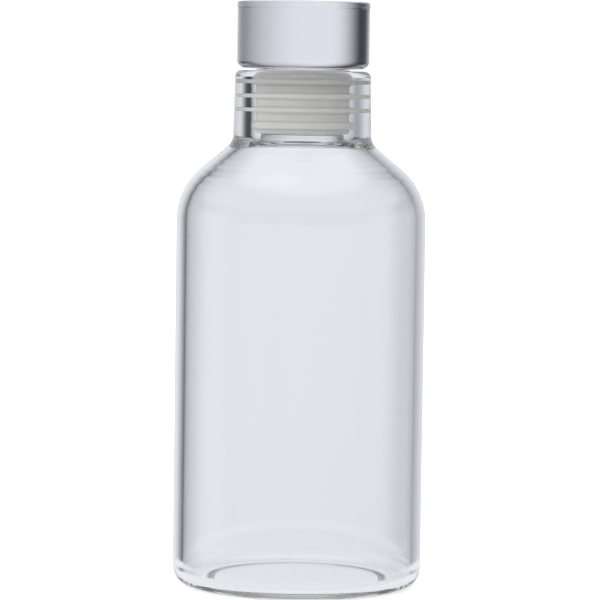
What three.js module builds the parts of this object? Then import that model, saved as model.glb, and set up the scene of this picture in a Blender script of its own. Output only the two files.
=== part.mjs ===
// Glass water bottle with a solid glass stopper and a ribbed silicone seal.
// Units are millimetres, +Z is up. The bottle stands on z = 0 and its axis is the z axis.
import * as THREE from "three";

// ---- driving dimensions ----
const AROUND = 64;              // facets around every turned body

const BODY_R = 39.0;            // outer radius of the straight body
const BODY_WALL = 3.1;          // wall of the body and of the shoulder
const HEEL_IN = 6.1;            // outer rounding between wall and base, measured inwards
const HEEL_UP = 6.8;            // the same rounding, measured upwards
const HEEL_POWER = 2.6;         // how square the rounding is; 2 is an ellipse
const REST_R = 28.5;            // inner edge of the flat ring the bottle stands on
const PUSH_UP = 0.8;            // how far the middle of the base is raised
const PUSH_R = 25.5;            // where the raised middle starts
const FLOOR_Z = 2.7;            // inside floor
const FLOOR_CORNER = 2.6;       // inside rounding between floor and wall

const SHOULDER_Z = 114.2;       // height where the straight wall ends
const SHOULDER_R = 21.5;        // outer rounding of the shoulder
const CONE_DEG = 50.3;          // slope of the shoulder, measured from upright

const NECK_R = 21.22;           // outer radius of the neck under the rim
const NECK_LOW_R = 21.57;       // outer radius of the neck above the shoulder
const NECK_FILLET = 5.1;        // outer rounding where shoulder meets neck
const BORE_R = 16.2;            // bore of the neck
const BORE_FILLET = 4.0;        // inside rounding where the bore opens into the shoulder
const RIM_Z = 161.05;           // top of the rim
const RIM_OUTER = 1.8;          // outer rounding of the rim
const RIM_INNER = 2.4;          // inner rounding of the rim

const FIT_GAP = 0.3;            // clearance between separate pieces
const KNOB_GAP = 0.65;          // between the rim and the knob
const KNOB_R = 20.7;            // solid glass knob
const KNOB_TOP = 182.45;        // overall height
const KNOB_UNDER = 2.6;         // rounding of the knob's lower edge
const KNOB_EDGE = 0.8;          // rounding of the knob's top edge
const STEM_R = 12.3;            // glass stem inside the seal
const LIP_R = 13.8;             // retaining lip under the seal, at its widest
const LIP_TOP_R = 12.95;        // the lip narrows upwards to this
const STEM_TIP = 138.75;        // lowest point of the stem

const SEAL_BOTTOM = 141.45;     // lower end of the silicone sleeve
const SEAL_CORE = 14.55;        // sleeve between the ribs
const RIB_R = 15.88;            // rib tips
const RIB_ROOT = 2.0;           // rib height along the axis at its root
const RIB_TIP = 1.0;            // rib height along the axis at its tip
const RIB_Z = [157.55, 153.15, 148.85];  // upper three ribs, top to bottom
const LOW_RIB_Z = 144.0;        // lowest rib
const LOW_RIB_R = 15.7;

// ---- helpers ----
const rad = (d) => (d * Math.PI) / 180;

// points on a circular rounding, both ends included
function arc(cx, cz, r, from, to, steps) {
  const pts = [];
  for (let i = 0; i <= steps; i++) {
    const a = rad(from + ((to - from) * i) / steps);
    pts.push([cx + r * Math.cos(a), cz + r * Math.sin(a)]);
  }
  return pts;
}

// the rounding under the wall, from the resting ring up to the wall
function heel(steps) {
  const pts = [];
  for (let i = 0; i <= steps; i++) {
    const a = (i / steps) * (Math.PI / 2);
    pts.push([
      BODY_R - HEEL_IN + HEEL_IN * Math.sin(a) ** (2 / HEEL_POWER),
      HEEL_UP - HEEL_UP * Math.cos(a) ** (2 / HEEL_POWER),
    ]);
  }
  return pts;
}

// a closed body of revolution about z; the profile runs counter-clockwise in (r, z)
function turned(name, profile, material) {
  const pts = profile.map(([r, z]) => new THREE.Vector2(r, z));
  const geometry = new THREE.LatheGeometry(pts, AROUND);
  geometry.rotateX(Math.PI / 2);
  const mesh = new THREE.Mesh(geometry, material);
  mesh.name = name;
  return mesh;
}

// ---- materials ----
const bottleGlass = new THREE.MeshStandardMaterial({
  name: "bottle_glass", color: 0xdfe6e4, roughness: 0.03, metalness: 0.0,
  transparent: true, opacity: 0.32,
});
const stopperGlass = new THREE.MeshStandardMaterial({
  name: "stopper_glass", color: 0xd9dfe2, roughness: 0.03, metalness: 0.0,
  transparent: true, opacity: 0.4,
});
const silicone = new THREE.MeshStandardMaterial({
  name: "seal_silicone", color: 0xbfc1c2, roughness: 0.45, metalness: 0.0,
});

// ---- shoulder geometry shared by the outer and inner surface ----
const A = rad(CONE_DEG);
const shoulderCx = BODY_R - SHOULDER_R;
const coneOuter = [shoulderCx + SHOULDER_R * Math.cos(A), SHOULDER_Z + SHOULDER_R * Math.sin(A)];
const innerShoulderR = SHOULDER_R - BODY_WALL;
const coneInner = [shoulderCx + innerShoulderR * Math.cos(A), SHOULDER_Z + innerShoulderR * Math.sin(A)];

// height of the centre of a rounding of radius r that joins the cone to an upright of radius upright
function filletCentreZ(start, upright, r) {
  const x = upright + r - r * Math.cos(A);
  const z = start[1] + ((start[0] - x) / Math.sin(A)) * Math.cos(A);
  return z + r * Math.sin(A);
}
const neckFilletZ = filletCentreZ(coneOuter, NECK_LOW_R, NECK_FILLET);
const boreFilletZ = filletCentreZ(coneInner, BORE_R, BORE_FILLET);

// ---- bottle ----
const innerR = BODY_R - BODY_WALL;
const bottleProfile = [
  [0, PUSH_UP],
  [PUSH_R, PUSH_UP],
  [REST_R, 0],
  ...heel(8),
  ...arc(shoulderCx, SHOULDER_Z, SHOULDER_R, 0, CONE_DEG, 7),
  ...arc(NECK_LOW_R + NECK_FILLET, neckFilletZ, NECK_FILLET, 180 + CONE_DEG, 180, 4),
  ...arc(NECK_R - RIM_OUTER, RIM_Z - RIM_OUTER, RIM_OUTER, 0, 90, 4),
  ...arc(BORE_R + RIM_INNER, RIM_Z - RIM_INNER, RIM_INNER, 90, 180, 4),
  ...arc(BORE_R + BORE_FILLET, boreFilletZ, BORE_FILLET, 180, 180 + CONE_DEG, 4),
  ...arc(shoulderCx, SHOULDER_Z, innerShoulderR, CONE_DEG, 0, 6),
  ...arc(innerR - FLOOR_CORNER, FLOOR_Z + FLOOR_CORNER, FLOOR_CORNER, 0, -90, 5),
  [0, FLOOR_Z],
];
const bottle = turned("bottle", bottleProfile, bottleGlass);

// ---- stopper: knob, stem and retaining lip in one solid piece of glass ----
const knobBottom = RIM_Z + KNOB_GAP;
const lipTop = SEAL_BOTTOM - FIT_GAP;
const stopperProfile = [
  [0, STEM_TIP],
  ...arc(LIP_R - 0.6, STEM_TIP + 0.6, 0.6, -90, 0, 3),
  [LIP_TOP_R, lipTop - 0.15],
  [LIP_TOP_R - 0.15, lipTop],
  [STEM_R, lipTop],
  [STEM_R, knobBottom],
  ...arc(KNOB_R - KNOB_UNDER, knobBottom + KNOB_UNDER, KNOB_UNDER, -90, 0, 5),
  ...arc(KNOB_R - KNOB_EDGE, KNOB_TOP - KNOB_EDGE, KNOB_EDGE, 0, 90, 3),
  [0, KNOB_TOP],
];
const stopper = turned("stopper", stopperProfile, stopperGlass);

// ---- silicone sleeve with four ribs ----
const sealTop = knobBottom - FIT_GAP;
const sealInner = STEM_R + FIT_GAP;
function rib(z, tip) {
  return [
    [SEAL_CORE, z - RIB_ROOT / 2],
    [tip - 0.15, z - RIB_TIP / 2 - 0.1],
    [tip, z - RIB_TIP / 2 + 0.1],
    [tip, z + RIB_TIP / 2 - 0.1],
    [tip - 0.15, z + RIB_TIP / 2 + 0.1],
    [SEAL_CORE, z + RIB_ROOT / 2],
  ];
}
const sealProfile = [
  [sealInner, SEAL_BOTTOM],
  [SEAL_CORE - 0.5, SEAL_BOTTOM],
  [SEAL_CORE, SEAL_BOTTOM + 0.5],
  [SEAL_CORE + 0.15, LOW_RIB_Z - 1.5],
  [LOW_RIB_R - 0.2, LOW_RIB_Z - 0.9],
  [LOW_RIB_R, LOW_RIB_Z - 0.6],
  [LOW_RIB_R, LOW_RIB_Z + 0.7],
  [LOW_RIB_R - 0.15, LOW_RIB_Z + 0.9],
  [SEAL_CORE, LOW_RIB_Z + 1.3],
  ...rib(RIB_Z[2], RIB_R),
  ...rib(RIB_Z[1], RIB_R),
  ...rib(RIB_Z[0], RIB_R),
  [SEAL_CORE, sealTop - 0.3],
  [SEAL_CORE - 0.3, sealTop],
  [sealInner, sealTop],
  [sealInner, SEAL_BOTTOM],
];
const seal = turned("seal_sleeve", sealProfile, silicone);

const group = new THREE.Group();
group.name = "glass_water_bottle";
group.add(bottle, seal, stopper);

export default group;
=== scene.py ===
# Clear glass water bottle with a solid glass stopper and a ribbed silicone seal.
# Everything is in metres, in the frame's own axes: +Z is up and the bottle's axis is the z axis.
import math

import bpy
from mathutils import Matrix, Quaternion, Vector


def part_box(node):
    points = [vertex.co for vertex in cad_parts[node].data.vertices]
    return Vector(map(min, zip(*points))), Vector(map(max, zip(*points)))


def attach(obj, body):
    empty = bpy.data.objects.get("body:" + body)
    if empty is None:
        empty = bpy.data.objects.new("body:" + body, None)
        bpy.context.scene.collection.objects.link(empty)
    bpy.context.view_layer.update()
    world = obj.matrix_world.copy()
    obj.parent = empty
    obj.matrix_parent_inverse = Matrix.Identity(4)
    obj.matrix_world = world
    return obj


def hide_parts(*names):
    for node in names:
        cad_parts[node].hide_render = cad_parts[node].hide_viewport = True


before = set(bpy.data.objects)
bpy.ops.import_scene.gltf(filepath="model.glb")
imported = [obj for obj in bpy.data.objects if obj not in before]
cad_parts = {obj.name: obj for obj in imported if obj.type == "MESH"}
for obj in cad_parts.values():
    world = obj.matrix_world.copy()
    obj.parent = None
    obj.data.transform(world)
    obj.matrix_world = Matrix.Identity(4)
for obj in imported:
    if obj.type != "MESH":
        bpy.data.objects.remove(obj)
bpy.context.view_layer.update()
scene = bpy.context.scene

MM = 0.001
AROUND = 256                       # facets round a turned piece
STEP_PARTS = 24                    # parts of the step under the base
HEEL_PARTS = 40                    # parts of the rounding under the wall
BEAD_PARTS = 8                     # parts of the swell under the bead

# ---- sizes that come from the frame ----
bottle_low, bottle_high = (Vector(c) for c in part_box("bottle"))
seal_low, seal_high = (Vector(c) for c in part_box("seal_sleeve"))
stopper_low, stopper_high = (Vector(c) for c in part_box("stopper"))
BODY_R = bottle_high.x
RIM_Z = bottle_high.z
KNOB_R = stopper_high.x
KNOB_TOP = stopper_high.z
STEM_TIP = stopper_low.z
SEAL_BOTTOM = seal_low.z
SEAL_TOP = seal_high.z

# ---- sizes of details ----
BODY_WALL = 3.1 * MM
HEEL_IN = 6.1 * MM                 # outer rounding between wall and base: inwards, upwards,
HEEL_UP = 6.8 * MM                 # and how square it is
HEEL_POWER = 2.6
REST_R = 28.5 * MM                 # inner edge of the ring the bottle stands on
PUSH_UP = 0.8 * MM                 # how far the middle of the base is raised
PUSH_R = 25.5 * MM                 # where the raised middle ends
FLOOR_Z = 2.7 * MM                 # inside floor
FLOOR_CORNER = 2.6 * MM
SHOULDER_Z = 114.2 * MM
SHOULDER_R = 21.5 * MM
CONE = math.radians(50.3)          # slope of the shoulder, from upright
NECK_R = 21.22 * MM
NECK_LOW_R = 21.57 * MM
NECK_FILLET = 5.1 * MM
BORE_R = 16.2 * MM
BORE_FILLET = 4.0 * MM
RIM_OUTER = 1.8 * MM
RIM_INNER = 2.4 * MM
RIPPLE = 0.008 * MM                # height of the ripples inside the shoulder
RIPPLE_PITCH = 2.6 * MM

KNOB_GAP = 0.65 * MM               # between rim and knob
KNOB_UNDER = 2.6 * MM
KNOB_EDGE = 0.8 * MM
KNOB_BEAD = 0.09 * MM              # how far the top of the knob stands out
BEAD_HEIGHT = 1.75 * MM
BEAD_STEP = 0.35 * MM              # height over which the bead swells out
STEM_R = 12.6 * MM
LIP_R = 13.8 * MM
LIP_TOP_R = 12.95 * MM
LIP_ROUND = 0.6 * MM

SEAL_CORE = 14.55 * MM
SEAL_ROUND = 0.18 * MM             # rounding of the seal's corners
RIB_PRESS = 0.15 * MM              # how far the rib tips reach into the glass
RIB_R = BORE_R + RIB_PRESS
RIB_ROOT = 2.0 * MM
RIB_TIP = 1.1 * MM
RIB_Z = [157.55 * MM, 153.15 * MM, 148.85 * MM]
LOW_RIB_Z = 144.0 * MM
LOW_RIB_R = 15.95 * MM
SLEEVE_GAP = 0.02 * MM             # between stem and sleeve

GLASS_IOR = 1.48
SILICONE_IOR = 1.41
QUARTER = math.pi / 2


# ---- profiles, as points (r, z) ----
def arc(cx, cz, r, start, end, steps):
    """Points on a rounding, both ends included; angles in radians."""
    return [(cx + r * math.cos(start + (end - start) * i / steps),
             cz + r * math.sin(start + (end - start) * i / steps)) for i in range(steps + 1)]


def line(start, end, steps):
    """Points on a straight stretch, without its ends."""
    return [tuple(Vector(start).lerp(Vector(end), i / steps)) for i in range(1, steps)]


def rounded(corners, radius, steps=4):
    """A closed outline with every corner eased by about the given radius."""
    points = []
    for i, corner in enumerate(corners):
        here = Vector(corner)
        before, after = Vector(corners[i - 1]) - here, Vector(corners[(i + 1) % len(corners)]) - here
        cut = min(radius, before.length * 0.45, after.length * 0.45)
        start, end = here + before.normalized() * cut, here + after.normalized() * cut
        for k in range(steps + 1):
            t = k / steps
            points.append(tuple(start.lerp(here, t).lerp(here.lerp(end, t), t)))
    return points + points[:1]


def bottle_profile():
    shoulder_x = BODY_R - SHOULDER_R
    inner_r = SHOULDER_R - BODY_WALL

    def fillet_z(radius, upright, fillet):
        """Height of the centre of a rounding between the shoulder's cone and an upright wall."""
        x0, z0 = shoulder_x + radius * math.cos(CONE), SHOULDER_Z + radius * math.sin(CONE)
        x = upright + fillet - fillet * math.cos(CONE)
        return z0 + (x0 - x) / math.tan(CONE) + fillet * math.sin(CONE)

    def rippled(points):
        """Shallow rings that blowing left on the inside, strongest half way along."""
        run, out = 0.0, []
        total = sum((Vector(b) - Vector(a)).length for a, b in zip(points, points[1:]))
        for a, b, c in zip(points, points[1:], points[2:]):
            run += (Vector(b) - Vector(a)).length
            along = (Vector(c) - Vector(a)).normalized()
            swell = RIPPLE * math.sin(math.pi * run / total) ** 2
            off = swell * math.sin(2 * math.pi * run / RIPPLE_PITCH)
            out.append((b[0] + along.y * off, b[1] - along.x * off))
        return points[:1] + out + points[-1:]

    outer_z = fillet_z(SHOULDER_R, NECK_LOW_R, NECK_FILLET)
    bore_z = fillet_z(inner_r, BORE_R, BORE_FILLET)
    inner_x = BODY_R - BODY_WALL
    step = [(PUSH_R + (REST_R - PUSH_R) * i / STEP_PARTS,
             PUSH_UP * (0.5 + 0.5 * math.cos(math.pi * i / STEP_PARTS))) for i in range(STEP_PARTS + 1)]
    turn = [QUARTER * i / HEEL_PARTS for i in range(HEEL_PARTS + 1)]
    heel = [(BODY_R - HEEL_IN + HEEL_IN * math.sin(a) ** (2 / HEEL_POWER),
             HEEL_UP - HEEL_UP * math.cos(a) ** (2 / HEEL_POWER)) for a in turn]
    opening = arc(BORE_R + BORE_FILLET, bore_z, BORE_FILLET, math.pi, math.pi + CONE, 14)
    inner_shoulder = arc(shoulder_x, SHOULDER_Z, inner_r, CONE, 0, 60)
    slope = line(opening[-1], inner_shoulder[0], 30)
    return (
        [(0, PUSH_UP)] + step + heel
        + arc(shoulder_x, SHOULDER_Z, SHOULDER_R, 0, CONE, 24)
        + arc(NECK_LOW_R + NECK_FILLET, outer_z, NECK_FILLET, math.pi + CONE, math.pi, 14)
        + arc(NECK_R - RIM_OUTER, RIM_Z - RIM_OUTER, RIM_OUTER, 0, QUARTER, 10)
        + arc(BORE_R + RIM_INNER, RIM_Z - RIM_INNER, RIM_INNER, QUARTER, math.pi, 12)
        + opening[:-1]
        + rippled(opening[-1:] + slope + inner_shoulder)
        + arc(inner_x - FLOOR_CORNER, FLOOR_Z + FLOOR_CORNER, FLOOR_CORNER, 0, -QUARTER, 30)
        + [(0, FLOOR_Z)]
    )


def stopper_profile():
    bottom = RIM_Z + KNOB_GAP
    bead = [(KNOB_R - KNOB_BEAD / 2 + KNOB_BEAD * (0.5 - 0.5 * math.cos(math.pi * i / BEAD_PARTS)),
             KNOB_TOP - BEAD_HEIGHT + BEAD_STEP * i / BEAD_PARTS) for i in range(BEAD_PARTS + 1)]
    side = bead[0][0]
    top = bead[-1][0]
    return (
        [(0, STEM_TIP)]
        + arc(LIP_R - LIP_ROUND, STEM_TIP + LIP_ROUND, LIP_ROUND, -QUARTER, 0, 10)
        + [(LIP_TOP_R, SEAL_BOTTOM - 0.4 * MM), (LIP_TOP_R - 0.1 * MM, SEAL_BOTTOM - 0.2 * MM),
           (STEM_R, SEAL_BOTTOM), (STEM_R, bottom - 0.2 * MM)]
        + arc(side - KNOB_UNDER, bottom + KNOB_UNDER, KNOB_UNDER, -QUARTER, 0, 14)
        + bead
        + arc(top - KNOB_EDGE, KNOB_TOP - KNOB_EDGE, KNOB_EDGE, 0, QUARTER, 8)
        + [(0, KNOB_TOP)]
    )


def seal_profile():
    def rib(z, reach):
        half, root = RIB_TIP / 2, RIB_ROOT / 2
        return [(SEAL_CORE, z - 1.3 * root), (reach, z - half), (reach, z + half), (SEAL_CORE, z + root)]

    inner = STEM_R + SLEEVE_GAP
    corners = [
        (inner, SEAL_BOTTOM), (SEAL_CORE - 0.3 * MM, SEAL_BOTTOM),
        (SEAL_CORE + 0.1 * MM, SEAL_BOTTOM + 0.4 * MM), (SEAL_CORE + 0.1 * MM, LOW_RIB_Z - 1.5 * MM),
        (LOW_RIB_R, LOW_RIB_Z - 0.8 * MM),
        (LOW_RIB_R, LOW_RIB_Z + 0.9 * MM), (SEAL_CORE, LOW_RIB_Z + 1.25 * MM)]
    for z in reversed(RIB_Z):
        corners += rib(z, RIB_R)
    corners += [(SEAL_CORE, SEAL_TOP), (inner, SEAL_TOP)]
    return rounded(corners, SEAL_ROUND)


# ---- a smooth turned body ----
def profile_normals(points, closed):
    """Outward normals; a long stretch outweighs a short one, so that flats stay flat."""
    normals = []
    last = len(points) - 1
    for i in range(len(points)):
        before, after = i - 1, i + 1
        if closed and i in (0, last):
            before, after = last - 1, 1
        total = Vector((0.0, 0.0))
        for a, b in ((before, i), (i, after)):
            if 0 <= a and b <= last:
                step = Vector(points[b]) - Vector(points[a])
                total += Vector((step.y, -step.x))
        normals.append(total.normalized())
    return normals


def turned(name, profile, material):
    points = [profile[0]]
    for p in profile[1:]:
        if (Vector(p) - Vector(points[-1])).length > 1e-7:
            points.append(p)
    closed = (Vector(points[0]) - Vector(points[-1])).length < 1e-7
    flat_normals = profile_normals(points, closed)
    if closed:
        points, flat_normals = points[:-1], flat_normals[:-1]
    verts, normals, rings = [], [], []
    for (r, z), n in zip(points, flat_normals):
        if r < 1e-7:
            rings.append([len(verts)] * AROUND)
            verts.append((0, 0, z))
            normals.append((0, 0, 1 if n.y > 0 else -1))
            continue
        rings.append(list(range(len(verts), len(verts) + AROUND)))
        for k in range(AROUND):
            a = 2 * math.pi * k / AROUND
            verts.append((r * math.cos(a), r * math.sin(a), z))
            normals.append((n.x * math.cos(a), n.x * math.sin(a), n.y))
    faces = []
    pairs = list(zip(rings, rings[1:])) + ([(rings[-1], rings[0])] if closed else [])
    for low, high in pairs:
        for k in range(AROUND):
            j = (k + 1) % AROUND
            corner = [low[k], low[j], high[j], high[k]]
            faces.append(list(dict.fromkeys(corner)))
    mesh = bpy.data.meshes.new(name)
    mesh.from_pydata(verts, [], faces)
    mesh.shade_smooth()
    mesh.normals_split_custom_set_from_vertices(normals)
    mesh.validate()
    mesh.materials.append(material)
    piece = bpy.data.objects.new(name, mesh)
    scene.collection.objects.link(piece)
    return piece


# ---- node helper ----
class Nodes:
    """Adds nodes to a tree and links them in one call."""

    def __init__(self, tree):
        self.tree = tree
        tree.nodes.clear()

    def add(self, kind, inputs=None, **settings):
        node = self.tree.nodes.new(kind)
        for key, value in settings.items():
            setattr(node, key, value)
        for key, value in (inputs or {}).items():
            if isinstance(value, bpy.types.NodeSocket):
                self.tree.links.new(value, node.inputs[key])
            else:
                node.inputs[key].default_value = value
        return node

    def math(self, operation, a, b=0.0):
        node = self.add("ShaderNodeMath", {0: a, 1: b}, operation=operation)
        return node.outputs[0]

    def smooth(self, value, low, high, to_low=0.0, to_high=1.0):
        node = self.add("ShaderNodeMapRange", {"Value": value, "From Min": low, "From Max": high,
                                               "To Min": to_low, "To Max": to_high},
                        interpolation_type="SMOOTHSTEP")
        return node.outputs["Result"]

    def mix(self, factor, a, b, blend="MIX"):
        node = self.add("ShaderNodeMix", data_type="RGBA", blend_type=blend)
        for socket, value in ((node.inputs[0], factor), (node.inputs[6], a), (node.inputs[7], b)):
            if isinstance(value, bpy.types.NodeSocket):
                self.tree.links.new(value, socket)
            else:
                socket.default_value = value
        return node.outputs[2]


def new_material(name):
    material = bpy.data.materials.new(name)
    material.use_nodes = True
    return material, Nodes(material.node_tree)


# ---- materials ----
def glass_material(name, absorb_colour, absorb_density, wave, shoulder_wave=0.0):
    """Clear glass: sharp refraction, a faint tint with depth, slow waves and a trace of haze."""
    material, n = new_material(name)
    place = n.add("ShaderNodeTexCoord").outputs["Object"]
    height = n.add("ShaderNodeSeparateXYZ", {"Vector": place}).outputs["Z"]
    slow = n.add("ShaderNodeTexNoise", {"Vector": place, "Scale": 45.0, "Detail": 1.0, "Roughness": 0.4})
    on_shoulder = n.smooth(height, SHOULDER_Z - 4 * MM, SHOULDER_Z + 12 * MM, wave, wave + shoulder_wave)
    swell = n.math("MULTIPLY", slow.outputs["Fac"], on_shoulder)
    bump = n.add("ShaderNodeBump", {"Height": swell, "Strength": 1.0, "Distance": 1.0})
    smudge = n.add("ShaderNodeTexNoise", {"Vector": place, "Scale": 140.0, "Detail": 3.0})
    haze = n.smooth(smudge.outputs["Fac"], 0.5, 0.8, 0.0, 0.01)
    shader = n.add("ShaderNodeBsdfPrincipled", {
        "Base Color": (1, 1, 1, 1), "Roughness": haze, "IOR": GLASS_IOR,
        "Transmission Weight": 1.0, "Normal": bump.outputs["Normal"]})
    depth = n.add("ShaderNodeVolumeAbsorption", {"Color": absorb_colour, "Density": absorb_density})
    n.add("ShaderNodeOutputMaterial", {"Surface": shader.outputs[0], "Volume": depth.outputs[0]})
    return material


def silicone_material():
    material, n = new_material("silicone")
    place = n.add("ShaderNodeTexCoord").outputs["Object"]
    cloud = n.add("ShaderNodeTexNoise", {"Vector": place, "Scale": 180.0, "Detail": 3.0})
    height = n.add("ShaderNodeSeparateXYZ", {"Vector": place}).outputs["Z"]
    soft = n.mix(cloud.outputs["Fac"], (0.745, 0.745, 0.735, 1), (0.795, 0.795, 0.79, 1))
    # painted shade: the sleeve's colour darkens towards its top, where the knob and the rim above shade it
    shade = n.smooth(height, RIB_Z[1] - 0.5 * MM, RIB_Z[0] - 1.5 * MM, 1.0, 0.78)
    flat = n.add("ShaderNodeVectorMath", {0: place, 1: (1, 1, 0)}, operation="MULTIPLY")
    from_axis = n.add("ShaderNodeVectorMath", {0: flat.outputs[0]}, operation="LENGTH").outputs["Value"]
    # painted light: just above the top rib the colour is lifted to a brighter band
    painted_light_above_ribs = n.smooth(height, RIB_Z[0] + 0.9 * MM, RIB_Z[0] + 1.6 * MM, 1.0, 1.22)
    painted_top_shade_and_light = n.math("MULTIPLY", shade, painted_light_above_ribs)
    # painted light and shade: the ribs are painted lighter and the core between them darker
    painted_rib_light_and_core_shade = n.smooth(from_axis, SEAL_CORE + 0.1 * MM, SEAL_CORE + 1.0 * MM, 0.92, 0.97)
    painted_light_and_shade = n.math("MULTIPLY", painted_top_shade_and_light, painted_rib_light_and_core_shade)
    # the painted light and shade are multiplied into the silicone's own colour
    painted_shading_grey = n.add("ShaderNodeCombineColor", {0: painted_light_and_shade, 1: painted_light_and_shade, 2: painted_light_and_shade}).outputs[0]
    colour = n.mix(1.0, soft, painted_shading_grey, "MULTIPLY")
    grain = n.add("ShaderNodeTexNoise", {"Vector": place, "Scale": 2500.0, "Detail": 2.0})
    bump = n.add("ShaderNodeBump", {"Height": grain.outputs["Fac"], "Strength": 0.25, "Distance": 0.02 * MM})
    rough = n.smooth(cloud.outputs["Fac"], 0.3, 0.7, 0.38, 0.5)
    shader = n.add("ShaderNodeBsdfPrincipled", {
        "Base Color": colour, "Roughness": rough, "IOR": SILICONE_IOR, "Normal": bump.outputs["Normal"],
        "Subsurface Weight": 0.4, "Subsurface Radius": (1.0, 1.0, 0.9), "Subsurface Scale": 1.2 * MM})
    n.add("ShaderNodeOutputMaterial", {"Surface": shader.outputs[0]})
    return material


bottle_glass = glass_material("bottle glass", (0.78, 0.90, 0.76, 1), 4.0, 0.02 * MM, 0.05 * MM)
stopper_glass = glass_material("stopper glass", (0.568, 0.741, 0.778, 1), 4.0, 0.01 * MM)
silicone = silicone_material()

# ---- the object ----
for piece, body, node, slot in (
    (turned("bottle_glass_shell", bottle_profile(), bottle_glass), "bottle", "bottle", "bottle_glass"),
    (turned("silicone_sleeve", seal_profile(), silicone), "seal", "seal_sleeve", "seal_silicone"),
    (turned("glass_stopper", stopper_profile(), stopper_glass), "stopper", "stopper", "stopper_glass"),
):
    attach(piece, body)
    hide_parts(node)


# ---- floor ----
FLOOR_HALF = 6.0                   # half the width of the floor
TABLE_R = 75 * MM
TABLE_SIDES = 64
TABLE_LEVEL = 0.86                 # how bright the table looks through the glass


def floor():
    material, n = new_material("pale floor")
    place = n.add("ShaderNodeTexCoord").outputs["Object"]
    fleck = n.add("ShaderNodeTexNoise", {"Vector": place, "Scale": 30.0, "Detail": 2.0})
    colour = n.mix(fleck.outputs["Fac"], (0.93, 0.93, 0.93, 1), (0.95, 0.95, 0.95, 1))
    shader = n.add("ShaderNodeBsdfPrincipled", {
        "Base Color": colour, "Roughness": 0.9, "Specular IOR Level": 0.0,
        "Emission Color": (1, 1, 1, 1), "Emission Strength": 0.45})
    n.add("ShaderNodeOutputMaterial", {"Surface": shader.outputs[0]})
    mesh = bpy.data.meshes.new("floor")
    corners = [(x * FLOOR_HALF, y * FLOOR_HALF, 0) for x, y in ((-1, -1), (1, -1), (1, 1), (-1, 1))]
    mesh.from_pydata(corners, [], [(0, 1, 2, 3)])
    mesh.materials.append(material)
    plane = bpy.data.objects.new("floor", mesh)
    scene.collection.objects.link(plane)
    plane.location.z = -0.05 * MM
    plane.visible_transmission = False
    plane.visible_glossy = False


def table():
    """What the glass sees of the table close to the bottle."""
    material, n = new_material("table in the glass")
    glow = n.add("ShaderNodeEmission", {"Color": (0.965, 0.98, 1.03, 1), "Strength": TABLE_LEVEL})
    n.add("ShaderNodeOutputMaterial", {"Surface": glow.outputs[0]})
    mesh = bpy.data.meshes.new("table")
    turns = [math.tau * k / TABLE_SIDES for k in range(TABLE_SIDES)]
    ring = [(TABLE_R * math.cos(a), TABLE_R * math.sin(a), 0) for a in turns]
    mesh.from_pydata(ring, [], [range(TABLE_SIDES)])
    mesh.materials.append(material)
    disc = bpy.data.objects.new("table", mesh)
    scene.collection.objects.link(disc)
    disc.location.z = -0.1 * MM
    disc.visible_camera = False
    disc.visible_diffuse = False
    disc.visible_shadow = False


floor()
table()


# ---- studio: a soft pale room that is darker to the left and right of the bottle ----
# Angles are measured away from straight behind the bottle, in degrees. Each side has a lit backdrop,
# then a flag, then a side wall, and the room's rear is dim.
BACKDROP_LEVEL = 0.845
REAR_LEVEL = 0.14
REAR_EDGE = (98, 125)
LEFT_SIDE = {"backdrop_edge": (16, 48), "flag": 0.01, "wall_edge": (57, 85), "wall": 0.70}
RIGHT_SIDE = {"backdrop_edge": (0, 50), "flag": 0.35, "wall_edge": (50, 72), "wall": 0.47}
ROOM_TINT = (0.968, 0.97, 1.055, 1)
SOFTBOX = (-0.22, -0.10, 0.97)     # direction of the light overhead
KEY = (-0.70, -0.62, 0.35)         # direction that the silicone and the floor are lit from most


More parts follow.
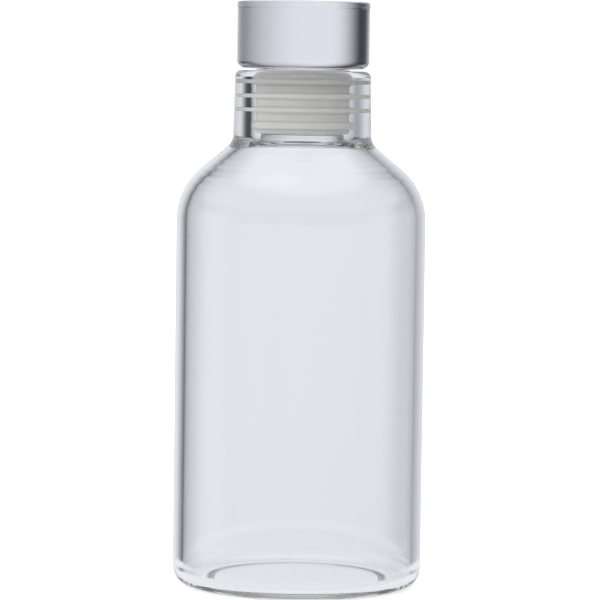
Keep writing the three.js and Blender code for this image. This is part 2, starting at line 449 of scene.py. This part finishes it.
def studio():
    world = bpy.data.worlds.new("studio")
    scene.world = world
    world.use_nodes = True
    n = Nodes(world.node_tree)
    direction = n.add("ShaderNodeTexCoord").outputs["Generated"]
    x, y, z = n.add("ShaderNodeSeparateXYZ", {"Vector": direction}).outputs
    away = n.math("MULTIPLY", n.math("ARCCOSINE", y), 180 / math.pi)
    up = n.math("MULTIPLY", n.math("ARCSINE", z), 180 / math.pi)

    def side(backdrop_edge, flag, wall_edge, wall):
        """Brightness of one side of the room, from the backdrop round to the rear."""
        level = n.smooth(away, *backdrop_edge, BACKDROP_LEVEL, flag)
        level = n.math("ADD", level, n.smooth(away, *wall_edge, 0.0, wall - flag))
        return n.math("ADD", level, n.smooth(away, *REAR_EDGE, 0.0, REAR_LEVEL - wall))

    def blend(factor, a, b):
        return n.add("ShaderNodeMix", {0: factor, 2: a, 3: b}, data_type="FLOAT").outputs[0]

    walls = blend(n.smooth(x, -0.15, 0.15), side(**LEFT_SIDE), side(**RIGHT_SIDE))
    behind = n.smooth(away, 104, 119)
    below = n.math("MULTIPLY", behind, n.smooth(up, -1.4, -0.3, 1.0, 0.0))
    walls = blend(below, walls, 0.50)
    corner = n.math("MULTIPLY", n.smooth(up, 5.0, 14.0), n.smooth(away, 29, 50))
    flagged = n.math("MULTIPLY", walls, n.smooth(corner, 0.0, 1.0, 1.0, 0.35))
    over = n.math("MULTIPLY", flagged, n.smooth(up, 8.0, 45.0, 1.0, 0.55))
    softbox = n.add("ShaderNodeVectorMath", {0: direction, 1: SOFTBOX}, operation="DOT_PRODUCT")
    ceiling = n.smooth(softbox.outputs["Value"], 0.96, 0.99, 0.90, 1.35)
    upper = blend(n.smooth(up, 45.0, 60.0), over, ceiling)
    from_edge = n.math("SUBTRACT", up, blend(behind, -22.0, -13.5))
    bright = blend(n.smooth(from_edge, 0.0, 4.5), TABLE_LEVEL, upper)
    room = n.add("ShaderNodeBackground", {"Color": ROOM_TINT, "Strength": bright})

    # the silicone and the floor are lit by a soft light of their own, brighter from the front left
    key = n.add("ShaderNodeVectorMath", {0: direction, 1: KEY}, operation="DOT_PRODUCT")
    from_key = n.smooth(key.outputs["Value"], -0.9, 1.0, 0.48, 1.60)
    lit = n.math("ADD", from_key, n.smooth(z, -0.6, 0.0, 0.35, 0.0))
    light = n.add("ShaderNodeBackground", {"Color": (1.0, 0.995, 0.985, 1), "Strength": lit})
    # glass sees the room, and the camera itself sees plain white
    path = n.add("ShaderNodeLightPath")
    bounced = n.math("GREATER_THAN", path.outputs["Diffuse Depth"], 0.5)
    around = n.add("ShaderNodeMixShader", {0: bounced, 1: room.outputs[0], 2: light.outputs[0]})
    white = n.add("ShaderNodeBackground", {"Color": (1, 1, 1, 1), "Strength": 1.1})
    both = n.add("ShaderNodeMixShader", {0: path.outputs["Is Camera Ray"], 1: around.outputs[0],
                                         2: white.outputs[0]})
    n.add("ShaderNodeOutputWorld", {"Surface": both.outputs[0]})


BOUNCES = 32                       # light crosses many glass surfaces

studio()
scene.view_settings.view_transform = "Standard"
scene.cycles.max_bounces = BOUNCES
scene.cycles.transmission_bounces = BOUNCES
scene.cycles.glossy_bounces = BOUNCES

# ---- camera ----
PLACE = (0.0, -0.9976, 0.1591)
LENS = 191.3
PITCH = math.radians(4.0)          # looking down
ROLL = math.radians(0.78)
camera_data = bpy.data.cameras.new("camera")
camera_data.lens = LENS
camera_data.sensor_width = 36.0
camera_data.clip_start, camera_data.clip_end = 0.05, 60.0
camera = bpy.data.objects.new("camera", camera_data)
scene.collection.objects.link(camera)
camera.location = PLACE
camera.rotation_mode = "QUATERNION"
camera.rotation_quaternion = (Quaternion((1, 0, 0), math.pi / 2 - PITCH) @ Quaternion((0, 0, 1), ROLL))
scene.camera = camera
